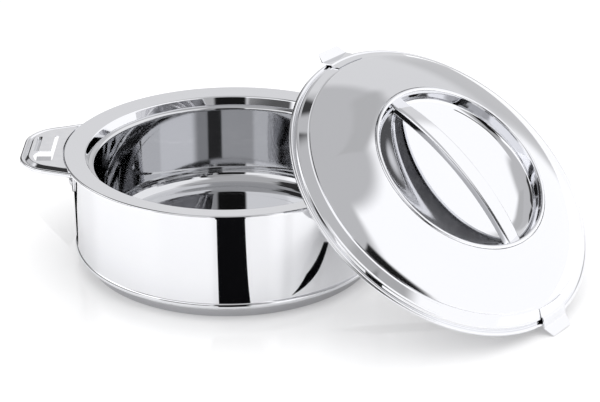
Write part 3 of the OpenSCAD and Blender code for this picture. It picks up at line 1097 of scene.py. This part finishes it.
    def top(self) -> Piece:
        """Makes the flat top, swept into the flange, with its window.

        Returns:
            The flat top.
        """
        root, end = self.flange_r - self.sweep_from, self.flange_r - self.sweep_to
        flare = self.half_at(root)
        edge = bent_line(
            (end, -flare - self.sweep_out),
            (root, -flare, self.sweep_r),
            *self.corners,
            (root, flare, self.sweep_r),
            (end, flare + self.sweep_out),
            steps=self.corner_steps,
        )
        inset = beside(edge, self.edge_inset)
        kept = [p for p in inset if math.hypot(*p) > self.seat]
        start = round_hit(inset[inset.index(kept[0]) - 1], kept[0], self.seat)
        turn = math.degrees(math.atan2(-start[1], start[0]))
        outline = [*kept, *arc((0, 0), self.seat, turn, -turn, 60)]
        return plate("handle_top", outline, [self.window()], self.top_h - self.sheet_t, self.top_h)

    def root(self) -> Piece:
        """Makes the wall that faces the flange, and the plate below the flange.

        Returns:
            Both, as one solid.
        """
        low, back = self.root_h - self.bracket_t, self.casing_r + self.gap
        wall, wall_h = self.seat + self.sheet_t, self.top_h - self.sheet_t
        section = [
            (back, low),
            (wall, low),
            (wall, wall_h),
            (self.seat, wall_h),
            (self.seat, self.root_h),
            (back, self.root_h),
        ]
        turn = math.atan2(self.half_at(self.flange_r) - self.edge_inset, self.seat)
        turns = [turn * i / 30 for i in range(-30, 31)]
        rings = [[(r * math.cos(a), r * math.sin(a), z) for r, z in section] for a in turns]
        return lofted("handle_root", rings)

    def window_lip(self) -> Piece:
        """Makes the lip that rises from the window's open side.

        Returns:
            The lip.
        """
        x0 = self.window_in + self.lip_inset
        x1 = x0 + self.groove_out - self.window_in - self.lip_short
        foot, edge = (self.open_side + 0.4, -0.05), (self.open_side - self.lip_lean, self.lip_h)
        section = [(y, self.top_h + z) for y, z in sheet([foot, edge], self.sheet_t)]
        return lofted("window_lip", [[(x, y, z) for y, z in section] for x in (x0, x1)])

    def groove(self) -> Piece:
        """Makes the pressed groove beyond the tongue, which rises at its far end.

        Returns:
            The groove.
        """
        line = bent_line(
            (self.groove_out + 0.5, 0.0),
            (self.groove_out, 0.0, 0.3),
            (self.groove_out - 0.7, -self.groove_h, 0.4),
            (self.tongue_out, 0.0, 0.5),
            (self.tongue_out - 0.5, 0.0),
            steps=5,
        )
        section = sheet(held(line, 0.15), self.sheet_t)
        far, rise = self.groove_end, self.groove_rise
        rings = []
        for y in (self.tongue_tip, *(far + rise * (1 - i / 8) for i in range(9))):
            depth = min(1.0, math.sin(min(1.0, (y - far) / rise) * math.pi / 2))
            ring = []
            for i, (x, z) in enumerate(section):
                level = 0.0 if i < len(section) // 2 else -self.sheet_t
                ring.append((x, y, self.top_h + level + (z - level) * depth))
            rings.append(ring)
        return lofted("handle_groove", rings)

    def handle(self, side: str) -> Piece:
        """Makes one whole handle.

        Args:
            side: left or right.

        Returns:
            The handle, turned to its side.
        """
        parts = [self.top(), self.rim(), self.root(), self.window_lip(), self.groove()]
        piece = parts[0]
        chosen = {"selected_objects": parts, "selected_editable_objects": parts}
        with bpy.context.temp_override(active_object=piece, object=piece, **chosen):
            bpy.ops.object.join()
        piece.name = piece.data.name = f"{side}_ear"
        if side == "left":
            piece.data.transform(Matrix.Rotation(math.pi, 4, "Z"))
        return piece

    def build(self) -> None:
        """Makes both handles and dresses their brackets and rivets."""
        for side in ("left", "right"):
            self.settle(self.handle(side), Slot.HANDLE, f"{side}_handle")
            self.dress(f"{side}_handle_bracket", Slot.HANDLE)
            self.dress(f"{side}_handle_rivets", Slot.RIVET)


@dataclass
class Lid(SubAssembly):
    """The lid, drawn level and then set in its lean: dome, rim, cover, dish, grip bar and tabs."""

    body: Body = Body.LID
    lid_r: float = 123.3
    bead_r: float = 1.5
    crease_h: float = 5.8
    crease_inset: float = 5.5
    hem_w: float = 0.8
    bead_end: float = 125.0
    groove_in: float = 3.2
    groove_h: float = 2.3
    crease_in: float = 4.0
    crease_drop: float = 0.6
    shoulder_out: float = 1.4
    shoulder_drop: float = 1.1
    rim_w: float = 11.7
    dome_edge_h: float = 10.6
    dome_swell: float = 1.6
    dome_clear: float = 0.4
    dome_drop: float = 1.1
    dish_r: float = 68.0
    dish_rim_h: float = 29.0
    dish_floor_h: float = 8.0
    dish_bead_r: float = 1.5
    bowl_inset: float = 2.7
    wall_h: float = 7.5
    grip_h: float = 32.0
    grip_end_h: float = 21.3
    grip_w: float = 15.0
    grip_end_w: float = 13.0
    grip_side: float = 6.2
    grip_overrun: float = 1.015
    grip_hem: float = 2.4
    grip_bend: float = 2.2
    pan_depth: float = 12.5
    pan_step: float = 4.5
    pan_r: float = 99.2
    pan_mouth_r: float = 107.4
    tab_w: float = 27.0
    tab_reach: float = 9.7
    tab_corner_r: float = 4.0
    tab_foot_out: float = 1.8
    tab_knee_in: float = 3.3
    nest_gap: float = 0.1
    rest: Lean = Lean()

    @property
    def bead_x(self) -> float:
        """Radius at which the rim's bead runs."""
        return self.lid_r - self.bead_r

    @property
    def bowl_r(self) -> float:
        """Radius of the dish's bowl at its mouth."""
        return self.dish_r - self.bowl_inset

    @property
    def shoulder(self) -> Point:
        """Radius and height of the rim's shoulder below the dome's edge."""
        return self.lid_r - self.rim_w + self.shoulder_out, self.dome_edge_h - self.shoulder_drop

    def lean(self, piece: Piece, slot: Slot, node: str) -> None:
        """Sets a level piece in the lid's lean and settles it on the lid's body."""
        piece.data.transform(self.rest.move)
        self.settle(piece, slot, node)

    def spin(self, name: str, line: Line, sharp: float = SHARP) -> Piece:
        """Returns a piece of sheet that is spun finely from the line of its section."""
        return spun(name, sheet(line, self.sheet_t), FINE_TURNS, sharp)

    def dome_line(self, steps: int = 24) -> list[Point]:
        """Draws the dome's upper face, one arc that swells over its chord.

        Args:
            steps: Straight pieces in it.

        Returns:
            The line, from the rim to the dish.
        """
        a = np.array([self.lid_r - self.rim_w, self.dome_edge_h])
        inner = self.dish_r + self.dish_bead_r + self.dome_clear
        b = np.array([inner, self.dish_rim_h - self.dome_drop])
        half = float(np.linalg.norm(b - a)) / 2
        radius = (half**2 + self.dome_swell**2) / (2 * self.dome_swell)
        way = unit(b - a)
        out = np.array([way[1], -way[0]])
        x, y = (float(c) for c in (a + b) / 2 + out * (self.dome_swell - radius))
        reach = math.degrees(math.asin(half / radius))
        middle = math.degrees(math.atan2(out[1], out[0]))
        return arc((x, y), radius, middle - reach, middle + reach, steps)

    def under_dome(self) -> list[Point]:
        """Returns a coarse line just below the dome's lower face."""
        return beside(self.dome_line(8), self.sheet_t + self.nest_gap)

    def rim(self) -> Piece:
        """Makes the rim: hem, rolled bead, groove, crease, shoulder and the lip under the dome.

        Returns:
            The rim.
        """
        under = self.under_dome()
        end = math.radians(self.bead_end)
        x, r = self.bead_x, self.bead_r
        line = [(x - self.hem_w, 0.0), *arc((x, r), r, -90, 100, 16)]
        line += bent_line(
            (x + r * math.cos(end), r + r * math.sin(end)),
            (self.lid_r - self.groove_in, self.groove_h, 0.4),
            (self.lid_r - self.crease_in, self.crease_h - self.crease_drop, 0.9),
            (self.lid_r - self.crease_inset, self.crease_h, 0.5),
            (*self.shoulder, 0.6),
            under[0],
            steps=6,
        )
        return self.spin("rim", [*line, under[1]])

    def cover(self) -> Piece:
        """Makes the inner cover that goes into the pot's mouth.

        Returns:
            The cover.
        """
        line = bent_line(
            (0.0, -self.pan_depth),
            (self.pan_r - 0.7, -self.pan_depth, 3.0),
            (self.pan_r + 0.6, -self.pan_step, 1.4),
            (self.pan_mouth_r - 0.8, -self.pan_step, 1.4),
            (self.pan_mouth_r, 0.0, 1.0),
            (self.bead_x - 1.1, 0.0),
        )
        return spun("cover", sheet(held(line), self.sheet_t))

    def dish(self) -> Piece:
        """Makes the finger dish: flange under the dome, bead, steep wall and elliptical bowl.

        Returns:
            The dish.
        """
        under = self.under_dome()
        x, y = self.dish_r, self.dish_rim_h - self.dish_bead_r
        rim_h = self.dish_rim_h - self.wall_h
        line = [under[7], (self.dish_r + self.dish_bead_r, under[8][1])]
        line += arc((x, y), self.dish_bead_r, 0, 180, 16)
        wall = x - self.dish_bead_r
        line += [(wall + (self.bowl_r - wall) * s, y + (rim_h - y) * s) for s in (0.1, 0.9)]
        steps = 60
        for i in range(steps + 1):
            t = math.radians(90 * i / steps)
            r = 0.0 if i == steps else self.bowl_r * math.cos(t)
            line.append((r, self.dish_floor_h + (rim_h - self.dish_floor_h) * (1 - math.sin(t))))
        return self.spin("dish", line, sharp=50)

    def grip_section(self, width: float) -> list[Point]:
        """Draws the bar's section.

        Args:
            width: The bar's width.

        Returns:
            The closed outline of a channel that is open below.
        """
        half, low = width / 2, -self.grip_side
        line = bent_line(
            (half - self.grip_hem, low),
            (half, low, 1.1),
            (half, 0.0, self.grip_bend),
            (-half, 0.0, self.grip_bend),
            (-half, low, 1.1),
            (-half + self.grip_hem, low),
        )
        return sheet(line, self.sheet_t)

    def grip(self) -> Piece:
        """Makes the grip bar: a channel bent to an arch, whose ends go into the dish's wall.

        Returns:
            The bar.
        """
        rise = self.grip_h - self.grip_end_h
        radius = (self.bowl_r**2 + rise**2) / (2 * rise)
        half_turn = math.asin(self.bowl_r / radius)
        low = self.grip_h - radius
        rings = []
        for i in range(-40, 41):
            s = self.grip_overrun * i / 40
            width = self.grip_w - (self.grip_w - self.grip_end_w) * min(1.0, s * s)
            turn = s * half_turn
            out, up = math.sin(turn), math.cos(turn)
            section = self.grip_section(width)
            rings.append([((radius + y) * out, x, low + (radius + y) * up) for x, y in section])
        return lofted("grip", rings)

    def tab_line(self) -> list[Point]:
        """Draws a lock tab's upper face.

        Returns:
            The line, from the tab's tip to its foot on the shoulder.
        """
        top_h = 2 * self.sheet_t
        gap = self.sheet_t + self.nest_gap
        crease = (self.lid_r - self.crease_inset, self.crease_h)
        foot = self.shoulder
        way = unit(np.array(foot) - np.array(crease))
        off = (gap * way[1], -gap * way[0])
        return bent_line(
            (self.lid_r + self.tab_reach + 0.01, top_h),
            (self.lid_r + self.tab_foot_out, top_h, 1.2),
            (self.lid_r - self.tab_knee_in, self.crease_h + gap + 0.05, 0.9),
            (crease[0] + off[0] + 0.1, crease[1] + off[1] + 0.1),
            (foot[0] + off[0], foot[1] + off[1]),
        )

    def tab(self, name: str, turn: float) -> Piece:
        """Makes one lock tab.

        Args:
            name: Name of the piece.
            turn: Turn round the lid's axis in degrees.

        Returns:
            The tab.
        """
        section = sheet(held(self.tab_line(), 0.2), self.sheet_t)
        straight = self.lid_r + self.tab_reach - self.tab_corner_r
        rings = []
        for v in np.sin(np.linspace(-1, 1, 41) * math.pi / 2):
            ring = []
            for r, h in section:
                into = max(0.0, min(self.tab_corner_r, r - straight))
                rounded = math.sqrt(self.tab_corner_r**2 - into**2)
                y = float(v) * (self.tab_w / 2 - self.tab_corner_r + rounded)
                x = math.sqrt(max(r * r - y * y, 0.0)) if r < self.lid_r + 1 else r
                ring.append((x, y, h))
            rings.append(ring)
        piece = lofted(name, rings)
        piece.data.transform(Matrix.Rotation(math.radians(turn), 4, "Z"))
        return piece

    def build(self) -> None:
        """Makes every piece of the lid and dresses the nodes that stay.

        The dome, the rim and the dish are spun finely, because they are seen large.
        """
        self.lean(self.spin("dome", self.dome_line()), Slot.LID, "lid_dome")
        self.lean(self.rim(), Slot.LID, "lid_rim")
        self.lean(self.cover(), Slot.COVER, "lid_inner_cover")
        self.lean(self.dish(), Slot.LID, "handle_dish")
        self.lean(self.grip(), Slot.GRIP, "grip_bar")
        self.lean(self.tab("lower_tab", 0.0), Slot.LID, "lower_lock_tab")
        self.lean(self.tab("upper_tab", 180.0), Slot.LID, "upper_lock_tab")
        self.dress("lid_insulation", Slot.FOAM)
        # The grip's underside gets the near-black finish, which is painted shade under the bar.
        self.dress("grip_underside", Slot.GRIP, self.finishes.painted_shade)


# ---- studio


@dataclass(frozen=True)
class Panel:
    """A light or dark patch of the studio, placed by its direction from the object in degrees."""

    light: float
    toward: float
    height: float
    half_width: float
    half_height: float
    roll: float = 0.0
    soft: float = 3.0


@dataclass
class Studio:
    """The room, floor and camera. Places are in millimetres."""

    eye: Triple = (34.4, -1180.6, 583.6)
    aim: Triple = (52.6, 0.0, 39.7)
    focal: float = 101.9
    room_light: float = 0.55
    room_blue: float = 1.02
    panel_blue: float = 1.015
    floor_half: float = 6000.0
    floor_h: float = -0.05
    card_h: float = 0.05
    floor_white: float = 0.8
    floor_drift: float = 0.985
    floor_rough: float = 0.14
    floor_shine: float = 0.4
    floor_seen: float = 0.62
    floor_mirrored: float = 0.52
    # Reach and least glow of the painted contact shade on the floor.
    shelter_reach: float = 0.07
    shelter_least: float = 0.25
    panels: tuple[Panel, ...] = (
        Panel(0.76, 80, 18, 32, 31, soft=3),
        Panel(0.45, -66, 15, 24, 34, soft=4),
        Panel(1.14, -5, 29, 56, 39, soft=4),
        Panel(0.6, 66, 4, 12, 15, soft=5),
        Panel(0.5, 48, 65.5, 24, 7, roll=-33, soft=3),
        Panel(1.45, -165, 28, 42, 14, soft=8),
        Panel(1.2, -120, 31, 22, 11, soft=3),
        Panel(0.1, -122, 3, 18, 16, soft=2),
        Panel(0.05, 160, 0, 45, 13, soft=4),
        Panel(0.04, 165, 57, 32, 13, soft=3),
        Panel(0.05, 118, 15, 12, 45, soft=2),
        Panel(0.01, -89, 12, 13, 24, soft=1.5),
        Panel(0.01, -55.5, 36.5, 2.6, 20, roll=37, soft=1),
    )
    dark_patches: tuple[tuple[Point, ...], ...] = (
        ((-10, -141), (22, -141), (980, -6000), (-970, -6000)),
        # The second card is painted shadow of the leaning lid on the floor, with painted reflection
        # of its rim's underside, and only mirrors show it.
        ((66, -131), (105, -137), (170, -130), (172, -119), (118, -123)),
        ((-126, 4), (-120, 60), (-150, 200), (-1400, 5800), (-3900, 4850), (-225, 128), (-160, 66)),
    )

    def panel_group(self) -> Tree:
        """Builds the group that masks one panel by direction. Its angles are in radians.

        Returns:
            A group with the output Mask.
        """
        sizes = {"Toward": 0.0, "Height": 0.0, "Half width": 0.5, "Half height": 0.5}
        inputs = {"Way": (0.0, 0.0, 1.0), **sizes, "Roll": 0.0, "Soft": 0.05}
        tree, s, given, out = new_group("studio_panel", inputs, "Mask")
        way = s.node("VectorMath", given["Way"], operation="NORMALIZE").outputs[0]
        x, y, z = s.node("SeparateXYZ", way).outputs
        turn = s.math("SUBTRACT", s.math("ARCTAN2", y, x), given["Toward"])
        aside = s.math("WRAP", turn, math.pi, -math.pi)
        above = s.math("SUBTRACT", s.math("ARCSINE", z), given["Height"])
        cosine, sine = s.math("COSINE", given["Roll"]), s.math("SINE", given["Roll"])
        along = s.math("ADD", s.math("MULTIPLY", aside, cosine), s.math("MULTIPLY", above, sine))
        up = s.math("SUBTRACT", s.math("MULTIPLY", above, cosine), s.math("MULTIPLY", aside, sine))
        soft = given["Soft"]
        masks = []
        for distance, half in ((along, given["Half width"]), (up, given["Half height"])):
            far, outer = s.math("ABSOLUTE", distance), s.math("ADD", half, soft)
            masks.append(s.step(far, outer, s.math("SUBTRACT", half, soft)))
        s.fill(out, {"Mask": s.math("MULTIPLY", *masks)})
        return tree

    def room(self) -> None:
        """Lights the world with the studio's panels, and shows it white behind the object.

        A later panel covers an earlier one.
        """
        world = bpy.data.worlds.new("studio")
        bpy.context.scene.world = world
        world.use_nodes = True
        world.node_tree.nodes.clear()
        s = Shade(world.node_tree)
        way = s.node("TexCoord").outputs["Generated"]
        tree = self.panel_group()
        colour: object = (self.room_light, self.room_light, self.room_light * self.room_blue)
        for panel in self.panels:
            sources: dict[str, object] = {"Way": way}
            for key in ("toward", "height", "half_width", "half_height", "roll", "soft"):
                sources[key.replace("_", " ").capitalize()] = math.radians(getattr(panel, key))
            light = (panel.light, panel.light, panel.light * self.panel_blue)
            colour = s.mix(s.group(tree, sources).outputs[0], colour, light)
        seen = s.node("LightPath").outputs["Is Camera Ray"]
        back = s.fill(s.node("Background"), {"Color": s.mix(seen, colour, (1.0, 1.0, 1.0))})
        s.node("OutputWorld", back.outputs[0])

    def floor(self) -> None:
        """Lays the white, slightly glossy floor.

        It glows for the camera and for mirrors, and ambient occlusion dims the glow where the
        object shelters it: a painted contact shadow.
        """
        far, h, white = self.floor_half, self.floor_h, self.floor_white
        points = [(-far, -far, h), (far, -far, h), (far, far, h), (-far, far, h)]
        piece = mesh_object("studio_floor", points, [[0, 1, 2, 3]], solid=False)
        material, s, shader = start_material("floor_white")
        path = s.node("LightPath").outputs
        seen = s.math("MULTIPLY", path["Is Camera Ray"], self.floor_seen)
        mirrored = s.math("MULTIPLY", path["Is Glossy Ray"], self.floor_mirrored)
        # Painted shade: ambient occlusion dims the floor's glow near the object, which paints a
        # contact shadow into the emission.
        sky = s.fill(s.node("AmbientOcclusion", samples=8), {"Distance": self.shelter_reach})
        least = self.shelter_least
        painted_floor_shade = s.math("MULTIPLY_ADD", sky.outputs["AO"], 1 - least, least)
        tone = s.noise(s.own_place(), 0.7, 2.0)
        sources = {
            "Base Color": s.mix(tone, (white * self.floor_drift,) * 3, (white,) * 3),
            "Roughness": self.floor_rough,
            "Specular IOR Level": self.floor_shine,
            "Emission Color": (1.0, 1.0, 1.0),
            "Emission Strength": s.math("MULTIPLY", s.math("ADD", seen, mirrored), painted_floor_shade),
        }
        s.fill(shader, sources)
        piece.data.materials.append(material)

    def dark_cards(self) -> None:
        """Lays dark cards on the floor, which only mirrors show."""
        material, s, shader = start_material("card_black")
        tone = s.noise(s.own_place(), 3.0, 2.0)
        black = s.mix(tone, (0.004, 0.004, 0.005), (0.008, 0.008, 0.009))
        s.fill(shader, {"Base Color": black, "Roughness": 0.8, "Specular IOR Level": 0.0})
        for i, patch in enumerate(self.dark_patches):
            points = [(x, y, self.card_h) for x, y in patch]
            face = list(range(len(patch)))
            piece = mesh_object(f"studio_card_{i + 1}", points, [face], solid=False)
            piece.data.materials.append(material)
            piece.visible_camera = piece.visible_diffuse = piece.visible_shadow = False

    def camera(self) -> None:
        """Sets the camera at the photograph's angle."""
        data = bpy.data.cameras.new("camera")
        data.lens = self.focal
        data.sensor_width = 36.0
        data.clip_end = 50.0
        eye = bpy.data.objects.new("camera", data)
        eye.location = Vector(self.eye) * MM
        way = (Vector(self.aim) - Vector(self.eye)).normalized()
        eye.rotation_euler = way.to_track_quat("-Z", "Y").to_euler()
        bpy.context.scene.collection.objects.link(eye)
        bpy.context.scene.camera = eye

    def build(self) -> None:
        """Sets up the whole studio."""
        self.camera()
        self.room()
        self.floor()
        self.dark_cards()
        bpy.context.scene.view_settings.view_transform = "Standard"


# ---- main


def main() -> None:
    """Builds the studio, the pot, its handles and the lid, in that order."""
    logging.basicConfig(level=logging.INFO, format="%(name)s: %(message)s")
    Studio().build()
    finishes = Finishes(Workshop())
    for assembly in (Pot(finishes), Handles(finishes), Lid(finishes)):
        assembly.build()
        LOG.info("finished %s", type(assembly).__name__)


if __name__ == "__main__":
    main()
